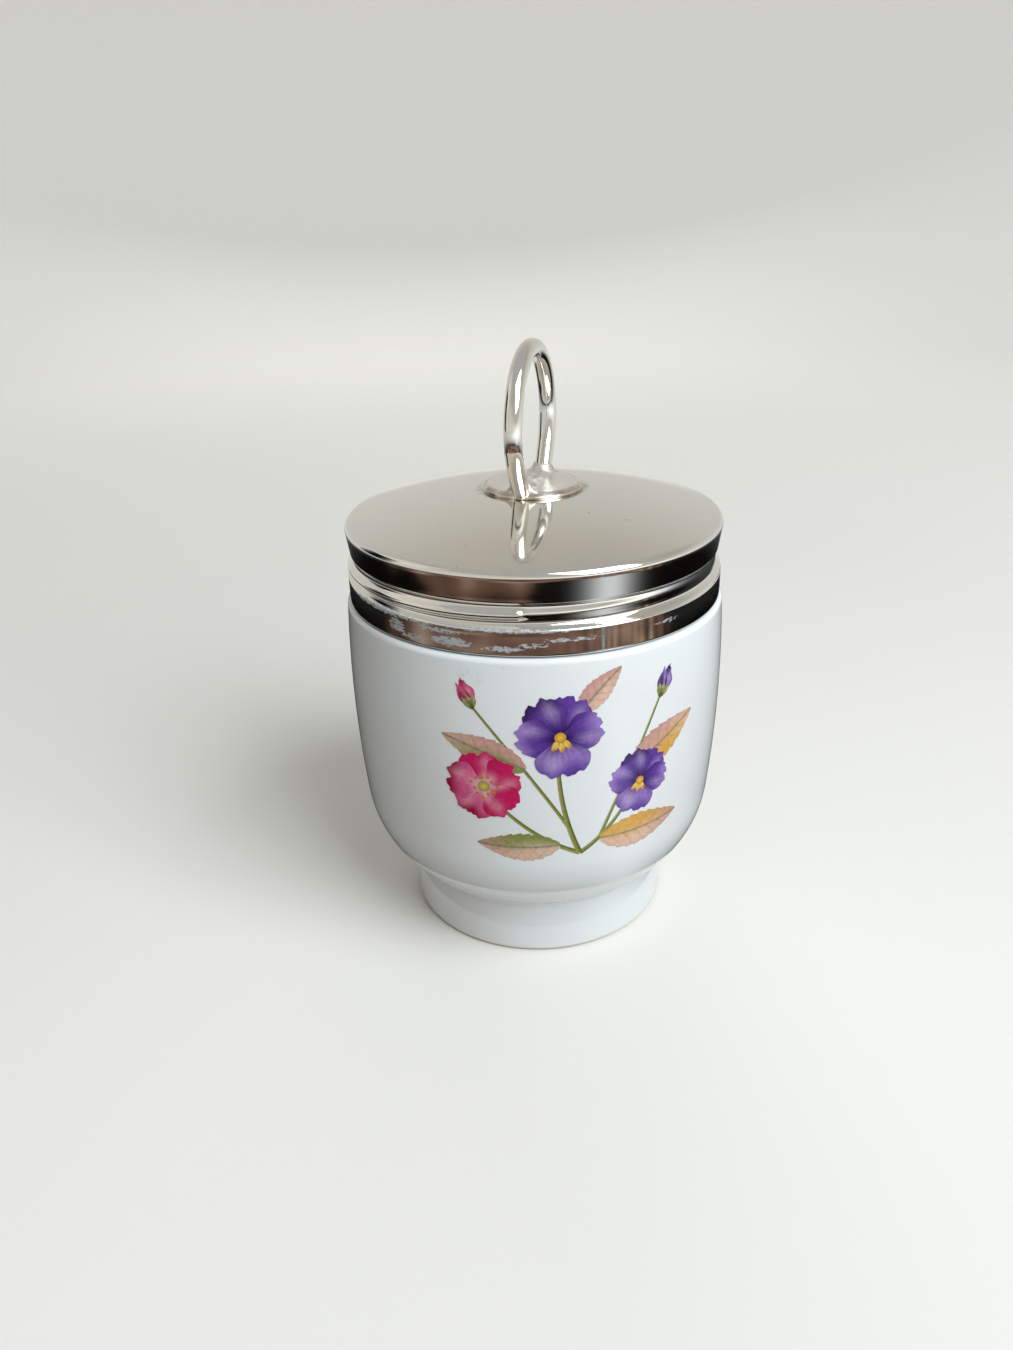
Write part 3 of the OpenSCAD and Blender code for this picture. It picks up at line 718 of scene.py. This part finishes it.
# ---------------------------------------------------------------- materials
class Nodes:
    """A short way to write a material's nodes."""

    def __init__(self, name):
        self.material = bpy.data.materials.new(name)
        self.material.use_nodes = True
        self.tree = self.material.node_tree
        self.shader = self.tree.nodes["Principled BSDF"]

    def add(self, kind, **values):
        node = self.tree.nodes.new(kind)
        for key, value in values.items():
            if key in node.inputs:
                node.inputs[key].default_value = value
            else:
                setattr(node, key, value)
        return node

    def link(self, a, b):
        self.tree.links.new(a, b)

    def set(self, **values):
        for key, value in values.items():
            self.shader.inputs[key.replace("_", " ")].default_value = value

    def coords(self, scale=(1, 1, 1)):
        place = self.add("ShaderNodeTexCoord")
        mapping = self.add("ShaderNodeMapping")
        mapping.inputs["Scale"].default_value = scale
        self.link(place.outputs["Object"], mapping.inputs["Vector"])
        return mapping.outputs["Vector"]

    def noise(self, scale, detail, rough, stretch=(1, 1, 1)):
        """A cloudy value, about scale patches to the metre."""
        n = self.add("ShaderNodeTexNoise", Scale=scale, Detail=detail, Roughness=rough)
        self.link(self.coords(stretch), n.inputs["Vector"])
        return n.outputs["Fac"]

    def ramp(self, value, *stops):
        """stops are (position, number or colour)."""
        r = self.add("ShaderNodeValToRGB")
        while len(r.color_ramp.elements) < len(stops):
            r.color_ramp.elements.new(0.5)
        for element, (position, colour) in zip(r.color_ramp.elements, stops):
            element.position = position
            element.color = (colour,) * 3 + (1,) if isinstance(colour, (int, float)) else (*colour, 1)
        self.link(value, r.inputs["Fac"])
        return r.outputs["Color"]

    def math(self, operation, a, b):
        n = self.add("ShaderNodeMath")
        n.operation = operation
        for socket, value in zip(n.inputs, (a, b)):
            if isinstance(value, (int, float)):
                socket.default_value = value
            else:
                self.link(value, socket)
        return n.outputs[0]

    def mix(self, fac, a, b, blend="MIX"):
        n = self.add("ShaderNodeMix")
        n.data_type, n.blend_type = "RGBA", blend
        for name, value in (("Factor", fac), ("A", a), ("B", b)):
            socket = [s for s in n.inputs if s.name == name and s.enabled][0]
            if isinstance(value, tuple):
                socket.default_value = (*value, 1)
            elif isinstance(value, (int, float)):
                socket.default_value = value
            else:
                self.link(value, socket)
        return [s for s in n.outputs if s.enabled][0]

    def bump(self, height, strength, distance, under=None):
        n = self.add("ShaderNodeBump", Strength=strength, Distance=distance)
        self.link(height, n.inputs["Height"])
        if under is not None:
            self.link(under, n.inputs["Normal"])
        return n.outputs["Normal"]

    def attribute(self, name, output="Fac"):
        n = self.add("ShaderNodeAttribute")
        n.attribute_name = name
        return n.outputs[output]


def height_above(nodes):
    """The object's own Z, in metres."""
    place = nodes.add("ShaderNodeTexCoord")
    split = nodes.add("ShaderNodeSeparateXYZ")
    nodes.link(place.outputs["Object"], split.inputs["Vector"])
    return split.outputs["Z"]


def distance_out(nodes, unit=1.0):
    """The distance from the object's own Z axis, in units of so many metres."""
    length = nodes.add("ShaderNodeVectorMath", operation="LENGTH")
    nodes.link(nodes.coords((1 / unit, 1 / unit, 0)), length.inputs[0])
    return length.outputs["Value"]


GLAZE, GLAZE_SHADE = (0.82, 0.878, 0.912), (0.8, 0.835, 0.855)
BARE_BODY, SPECK, RUBBED = (0.78, 0.73, 0.62), (0.55, 0.52, 0.47), (0.4, 0.41, 0.42)
BARE_ROUGH = (0.5, 0.5, 0.5)


def glaze(n):
    """The glaze's slow waves, fine orange peel and index; returns its roughness."""
    waves = n.bump(n.noise(95, 2, 0.4), strength=0.25, distance=0.00012)
    peel = n.bump(n.noise(1500, 2, 0.5), strength=0.06, distance=0.00002, under=waves)
    n.link(peel, n.shader.inputs["Normal"])
    n.set(IOR=1.52)
    return n.ramp(n.noise(150, 5, 0.6), (0.3, 0.045), (0.75, 0.11))


def porcelain_material():
    """Glazed white with sparse specks and rubs, and bare at the foot's edge, below half a millimetre."""
    n = Nodes("glazed_porcelain")
    colour = n.ramp(n.noise(38, 3, 0.5), (0.3, GLAZE_SHADE), (0.65, GLAZE))
    specks = n.ramp(n.noise(2600, 1, 0.3), (0.79, 0.0), (0.83, 0.45))
    colour = n.mix(specks, colour, SPECK)
    scuffs = n.ramp(n.noise(900, 4, 0.7), (0.45, 0.0), (0.6, 0.35))
    colour = n.mix(n.math("MULTIPLY", n.attribute("rubs"), scuffs), colour, RUBBED)
    bare = n.ramp(n.math("DIVIDE", height_above(n), MM), (0.25, 1.0), (0.75, 0.0))
    n.link(n.mix(bare, colour, BARE_BODY), n.shader.inputs["Base Color"])
    n.link(n.mix(bare, glaze(n), BARE_ROUGH), n.shader.inputs["Roughness"])
    n.set(Subsurface_Weight=0.12, Subsurface_Scale=0.0012, Subsurface_Radius=(1.0, 0.9, 0.8))
    return n.material


def print_material():
    """Ceramic colours under the same glaze as the cup's."""
    n = Nodes("glazed_print")
    grain = n.ramp(n.noise(1900, 3, 0.6), (0.3, 0.9), (0.7, 1.0))
    n.link(n.mix(1.0, n.attribute("print", "Color"), grain, "MULTIPLY"), n.shader.inputs["Base Color"])
    n.link(glaze(n), n.shader.inputs["Roughness"])
    return n.material


PLATE_WARM, PLATE_COOL = (0.86, 0.82, 0.75), (0.8, 0.8, 0.785)
TARNISH, FLAKE, PIT = (0.34, 0.23, 0.13), (0.56, 0.62, 0.67), (0.3, 0.28, 0.25)
FLAKE_ROUGH, FLAKE_DULL = (0.42, 0.42, 0.42), 0.6


def tarnish(n, inner, outer):
    """A brown stain between two distances from the axis, in millimetres, broken up by noise."""
    share = n.math("DIVIDE", n.math("SUBTRACT", distance_out(n, MM), inner), outer - inner)
    ring = n.ramp(share, (0.0, 0.0), (0.5, 1.0), (1.0, 0.0))
    return n.math("MULTIPLY", ring, n.ramp(n.noise(330, 5, 0.65), (0.38, 0.0), (0.6, 0.85)))


def worn_share(n):
    """Where the plating has flaked off: fine streaks anywhere, and most where the wear attribute says."""
    streaks = n.math("MULTIPLY", n.noise(1150, 6, 0.72, (1, 1, 2.6)), 0.8)
    worn_off = n.math("MULTIPLY", n.attribute("wear"), 0.3)
    return n.ramp(n.math("ADD", streaks, worn_off), (0.625, 0.0), (0.64, 1.0))


def plated_material(name, roughness=(0.045, 0.12), worn=True, stain=None):
    """Polished plating with uneven haze. stain is the tarnish's two distances from the axis."""
    n = Nodes(name)
    colour = n.ramp(n.noise(60, 4, 0.55), (0.3, PLATE_COOL), (0.7, PLATE_WARM))
    if stain:
        colour = n.mix(tarnish(n, *stain), colour, TARNISH)
    haze = n.ramp(n.noise(220, 6, 0.65), (0.3, roughness[0]), (0.8, roughness[1]))
    if worn:
        flakes = worn_share(n)
        colour = n.mix(flakes, colour, FLAKE)
        haze = n.mix(flakes, haze, FLAKE_ROUGH)
        pits = n.ramp(n.noise(1100, 1, 0.3), (0.79, 0.0), (0.83, 0.6))
        colour = n.mix(pits, colour, PIT)
        metal = n.math("SUBTRACT", 1.0, n.math("MULTIPLY", flakes, FLAKE_DULL))
        n.link(metal, n.shader.inputs["Metallic"])
    else:
        n.set(Metallic=1.0)
    n.link(colour, n.shader.inputs["Base Color"])
    n.link(haze, n.shader.inputs["Roughness"])
    brushed = n.bump(n.noise(2400, 3, 0.6, (1, 1, 0.25)), strength=0.05, distance=0.00002)
    uneven = n.bump(n.noise(120, 3, 0.5), strength=0.1, distance=0.00005, under=brushed)
    n.link(uneven, n.shader.inputs["Normal"])
    return n.material


SOLDER_DARK, SOLDER_LIGHT = (0.5, 0.48, 0.44), (0.86, 0.85, 0.82)


def solder_material():
    n = Nodes("dull_solder")
    colour = n.ramp(n.noise(520, 6, 0.65), (0.32, SOLDER_DARK), (0.62, SOLDER_LIGHT))
    n.link(colour, n.shader.inputs["Base Color"])
    n.link(n.ramp(n.noise(700, 5, 0.6), (0.3, 0.3), (0.75, 0.55)), n.shader.inputs["Roughness"])
    lumps = n.bump(n.noise(900, 5, 0.65), strength=0.6, distance=0.00012)
    n.link(lumps, n.shader.inputs["Normal"])
    n.set(Metallic=0.85)
    return n.material


# ---------------------------------------------------------------- the studio
STAGE_COLOUR, STAGE_WARM, STAGE_DULL = (0.86, 0.86, 0.825), (0.86, 0.8, 0.7), (0.53, 0.5, 0.46)
STAGE_WARM_FROM, STAGE_WARM_TO = 0.45, 0.95
STAGE_GLOW, GLOW_FROM, GLOW_TO = 0.19, 0.2, 0.75
FLOOR_DROP, BLACK_CARD_Z, BROWN_CARD_Z = 0.00005, 0.0004, 0.0008


def studio_paint():
    """Pale to the camera and to metal, and duller to the soft light that it gives back, to keep the shade."""
    n = Nodes("studio_paint")
    path = n.add("ShaderNodeLightPath").outputs
    mirrored = n.math("MAXIMUM", path["Is Glossy Ray"], path["Is Transmission Ray"])
    seen = n.math("MAXIMUM", path["Is Camera Ray"], mirrored)
    pale = n.ramp(height_above(n), (STAGE_WARM_FROM, STAGE_COLOUR), (STAGE_WARM_TO, STAGE_WARM))
    glow = n.ramp(distance_out(n), (GLOW_FROM, 0.0), (GLOW_TO, STAGE_GLOW))
    n.link(n.mix(seen, STAGE_DULL, pale), n.shader.inputs["Base Color"])
    n.link(n.math("MULTIPLY", seen, glow), n.shader.inputs["Emission Strength"])
    n.set(Roughness=0.9, Specular_IOR_Level=0.2, Emission_Color=(*STAGE_COLOUR, 1))
    n.material.cycles.emission_sampling = "NONE"
    return n.material


def stage_piece(name, verts, faces, material):
    """A piece of the stage, given in metres."""
    mesh = bpy.data.meshes.new(name)
    mesh.from_pydata(verts, [], faces)
    mesh.materials.append(material)
    piece = linked(name, mesh)
    return piece


def make_stage():
    """A pale floor that turns up into a pale wall all round."""
    middle_r, floor_r, cove_r, wall_h, wall_top = 0.3, 1.1, 0.35, 1.6, (0.02, 0.001)
    profile = [(0, 0), (middle_r, 0)]
    profile += arc(floor_r - cove_r, cove_r, cove_r, -90, 0, 16)
    profile += [(floor_r, wall_h), (floor_r + wall_top[0], wall_h + wall_top[1])]
    verts, faces = spun(profile, 96, ends_on_axis=False)
    studio = stage_piece("studio", [(x, y, z - FLOOR_DROP) for x, y, z in verts], faces, studio_paint())
    studio.data.shade_smooth()


def card(name, verts, faces, tones, material):
    """A card that only glossy surfaces see, so that the polished metal has dark tones to mirror.
    tones are each point's share of the way from its dark colour to its light one."""
    piece = stage_piece(name, verts, faces, material)
    point_values(piece, "tone", tones)
    piece.visible_camera = piece.visible_diffuse = piece.visible_shadow = False


def floor_card(name, inner, outer, height, tone, material):
    """A card flat on the floor, all round the object. tone(azimuth, radius) gives each point's share."""
    segments, rings = 360, 24
    verts, faces, tones = [], [], []
    for j in range(segments):
        azimuth = j * 360 / segments
        a = math.radians(azimuth)
        for i in range(rings + 1):
            r = inner + (outer - inner) * i / rings
            verts.append((r * math.sin(a), -r * math.cos(a), height))
            tones.append(tone(azimuth, r))
    for j in range(segments):
        a, b = j * (rings + 1), (j + 1) % segments * (rings + 1)
        faces += [(a + i, b + i, b + i + 1, a + i + 1) for i in range(rings)]
    card(name, verts, faces, tones, material)


def side_card(name, material):
    """An upright card, dark in its middle, which draws the dark line down one side of the ring."""
    radius, low, high, first, last, steps = 0.5, 0.02, 0.32, -104, -70, 24
    verts, faces, tones = [], [], []
    for i in range(steps + 1):
        a = math.radians(first + (last - first) * i / steps)
        for z in (low, high):
            verts.append((radius * math.sin(a), -radius * math.cos(a), z))
            tones.append(abs(2 * i / steps - 1) ** 3)
        if i:
            faces.append((2 * i - 2, 2 * i, 2 * i + 1, 2 * i - 1))
    card(name, verts, faces, tones, material)


# The black card's half bright streak: a painted reflection of the window light in the table, which the lid's
# bands mirror as a highlight
WINDOW_GLINT_AZIMUTH, WINDOW_GLINT_HALF, WINDOW_GLINT_SHARE = 57.0, 13.0, 0.5
BEHIND_AZIMUTH, BEHIND_HALF = 194.0, 20.0
BLACK_CARD, BLACK_FADE, BROWN_CARD = (0.028, 0.5), (0.16, 0.48), (0.112, 0.27)
BROWN_FROM, BROWN_TO, BROWN_EDGE, BROWN_NEAR_EDGE, BROWN_FAR_EDGE = -88.0, 104.0, 30.0, 0.016, 0.08
BITE_FROM, BITE_TO, BITE_EDGE, BITE_DEPTH = -66.0, 36.0, 30.0, 0.026
PATCH_TONE, PATCH_SWING, PATCH_TURN, PATCH_OUT = 0.52, 0.35, 0.07, 40
STRIP_FROM, STRIP_FULL, STRIP_SWING, STRIP_TURN = 20, 60, 0.6, 0.3
CARD_BLACK, CARD_GREY, CARD_PALE = (0.004, 0.0035, 0.003), (0.62, 0.65, 0.68), (0.86, 0.86, 0.825)
CARD_BROWN, CARD_BEIGE = (0.16, 0.09, 0.065), (0.46, 0.37, 0.29)


def within(x, low, high, low_edge, high_edge):
    """1 between two limits and 0 outside them, with soft edges inside them."""
    return float(ease(x, low, low + low_edge) * ease(-x, -high, high_edge - high))


def black_tone(azimuth, r):
    """Black, with a half bright streak that is a painted reflection of the window light in the table, for the
    lid's bands to mirror, and a bright one behind, fading to the floor's colour.
    """
    streak = WINDOW_GLINT_SHARE * math.exp(-(((azimuth - WINDOW_GLINT_AZIMUTH) / WINDOW_GLINT_HALF) ** 2))
    behind = math.exp(-(((azimuth - BEHIND_AZIMUTH) / BEHIND_HALF) ** 4))
    light = max(streak, behind)
    return light + (1 - light) * float(ease(r, *BLACK_FADE))


def brown_tone(azimuth, r):
    """Uneven brown patches with paler strips to the right, starting further out at the sides."""
    d = (azimuth + 180) % 360 - 180
    nearest = BROWN_CARD[0] + BITE_DEPTH * (1 - within(d, BITE_FROM, BITE_TO, BITE_EDGE, BITE_EDGE))
    inside = within(d, BROWN_FROM, BROWN_TO, BROWN_EDGE, BROWN_EDGE)
    inside *= within(r, nearest, BROWN_CARD[1], BROWN_NEAR_EDGE, BROWN_FAR_EDGE)
    patches = PATCH_TONE + PATCH_SWING * noise.noise(Vector((d * PATCH_TURN, r * PATCH_OUT, 0.0)))
    strips = float(ease(d, STRIP_FROM, STRIP_FULL)) * STRIP_SWING
    strips *= noise.noise(Vector((d * STRIP_TURN, 7.0, 0.0)))
    return inside * min(max(patches + strips, 0.0), 1.0)


def card_material(name, colours, clear=()):
    """A dull colour by tone, and clear by tone where stops for that are given."""
    n = Nodes(name)
    tone = n.attribute("tone")
    n.link(n.ramp(tone, *colours), n.shader.inputs["Base Color"])
    if clear:
        n.link(n.ramp(tone, *clear), n.shader.inputs["Alpha"])
    n.set(Specular_IOR_Level=0.0, Roughness=1.0)
    return n.material


def make_cards():
    black = card_material("black_card", [(0.0, CARD_BLACK), (0.5, CARD_GREY), (1.0, CARD_PALE)])
    floor_card("black_card", *BLACK_CARD, BLACK_CARD_Z, black_tone, black)
    browns = [(0.0, CARD_BLACK), (0.5, CARD_BROWN), (0.95, CARD_BEIGE)]
    brown = card_material("brown_card", browns, clear=[(0.02, 0.0), (0.25, 1.0)])
    floor_card("brown_card", *BROWN_CARD, BROWN_CARD_Z, brown_tone, brown)
    side_card("side_card", card_material("side_card", [(0.0, CARD_BLACK), (1.0, CARD_PALE)]))


# The lamps: name, azimuth, elevation, distance, width, height, watts, colour
LAMPS = [
    ("window", 60, 42, 0.85, 0.55, 0.7, 7.8, (0.94, 0.975, 1.0)),
    ("room_fill", -75, 35, 0.9, 0.6, 0.6, 0.2, (1.0, 0.9, 0.78)),
    ("back_fill", 200, 30, 0.85, 0.6, 0.6, 1.3, (1.0, 0.99, 0.97)),
]
UNMIRRORED = "back_fill"
LAMP_AIM = Vector((0, 0, 0.05))
SKY_COLOUR, SKY_STRENGTH = (0.97, 0.985, 1.0, 1), 0.45


def area_light(name, azimuth, elevation, distance, width, height, watts, colour):
    data = bpy.data.lights.new(name, "AREA")
    data.shape, data.size, data.size_y = "RECTANGLE", width, height
    data.energy, data.color = watts, colour
    lamp = linked(name, data)
    a, e = math.radians(azimuth), math.radians(elevation)
    away = Vector((math.sin(a) * math.cos(e), -math.cos(a) * math.cos(e), math.sin(e)))
    lamp.location = LAMP_AIM + away * distance
    lamp.rotation_mode = "QUATERNION"
    lamp.rotation_quaternion = away.to_track_quat("Z", "Y")
    lamp.visible_camera = False
    lamp.visible_glossy = name != UNMIRRORED


def make_light():
    world = bpy.data.worlds.new("room")
    world.use_nodes = True
    background = world.node_tree.nodes["Background"]
    background.inputs["Color"].default_value = SKY_COLOUR
    background.inputs["Strength"].default_value = SKY_STRENGTH
    bpy.context.scene.world = world
    for lamp in LAMPS:
        area_light(*lamp)


# The camera as fitted to the photograph: an uncropped phone view of 1014 px focal length
CAMERA_AT = (0.0401, -0.1560, 0.1178)
LOOK_ACROSS = (-0.279, 0.960)
PITCH_DOWN, ROLL, FOCAL_PX, LONG_SIDE_PX, SENSOR, NEAREST = 25.17, -1.64, 1014.0, 1350.0, 36.0, 0.005


def make_camera():
    data = bpy.data.cameras.new("camera")
    data.sensor_width = SENSOR
    data.lens = FOCAL_PX * SENSOR / LONG_SIDE_PX
    data.clip_start = NEAREST
    cam = linked("camera", data)
    across = Vector((*LOOK_ACROSS, 0)).normalized()
    p, r = math.radians(PITCH_DOWN), math.radians(ROLL)
    forward = across * math.cos(p) - Vector((0, 0, math.sin(p)))
    right = forward.cross(Vector((0, 0, 1))).normalized()
    down = forward.cross(right).normalized()
    x_axis = right * math.cos(r) - down * math.sin(r)
    y_down = right * math.sin(r) + down * math.cos(r)
    turn = Matrix((x_axis, -y_down, -forward)).transposed()
    cam.matrix_world = Matrix.Translation(CAMERA_AT) @ turn.to_4x4()
    bpy.context.scene.camera = cam


# Each stain's two distances from the axis, in millimetres
LID_STAIN, PLATE_STAIN = (PLATE_R - 0.5, PLATE_R + 1.1), (PLATE_R - 1.2, PLATE_R + 0.6)
PLATE_HAZE, RING_HAZE = (0.2, 0.42), (0.05, 0.14)


def build():
    cup, lid, plate, ring, solder = make_cup(), make_lid(), make_plate(), make_ring(), make_solder()
    cup.data.materials.append(porcelain_material())
    make_print().data.materials.append(print_material())
    lid.data.materials.append(plated_material("plated_lid_metal", stain=LID_STAIN))
    plate_metal = plated_material("plated_base_metal", PLATE_HAZE, worn=False, stain=PLATE_STAIN)
    plate.data.materials.append(plate_metal)
    ring.data.materials.append(plated_material("plated_ring_metal", RING_HAZE, worn=False))
    solder.data.materials.append(solder_material())


build()
make_stage()
make_cards()
make_light()
make_camera()
bpy.context.scene.view_settings.view_transform = "Standard"
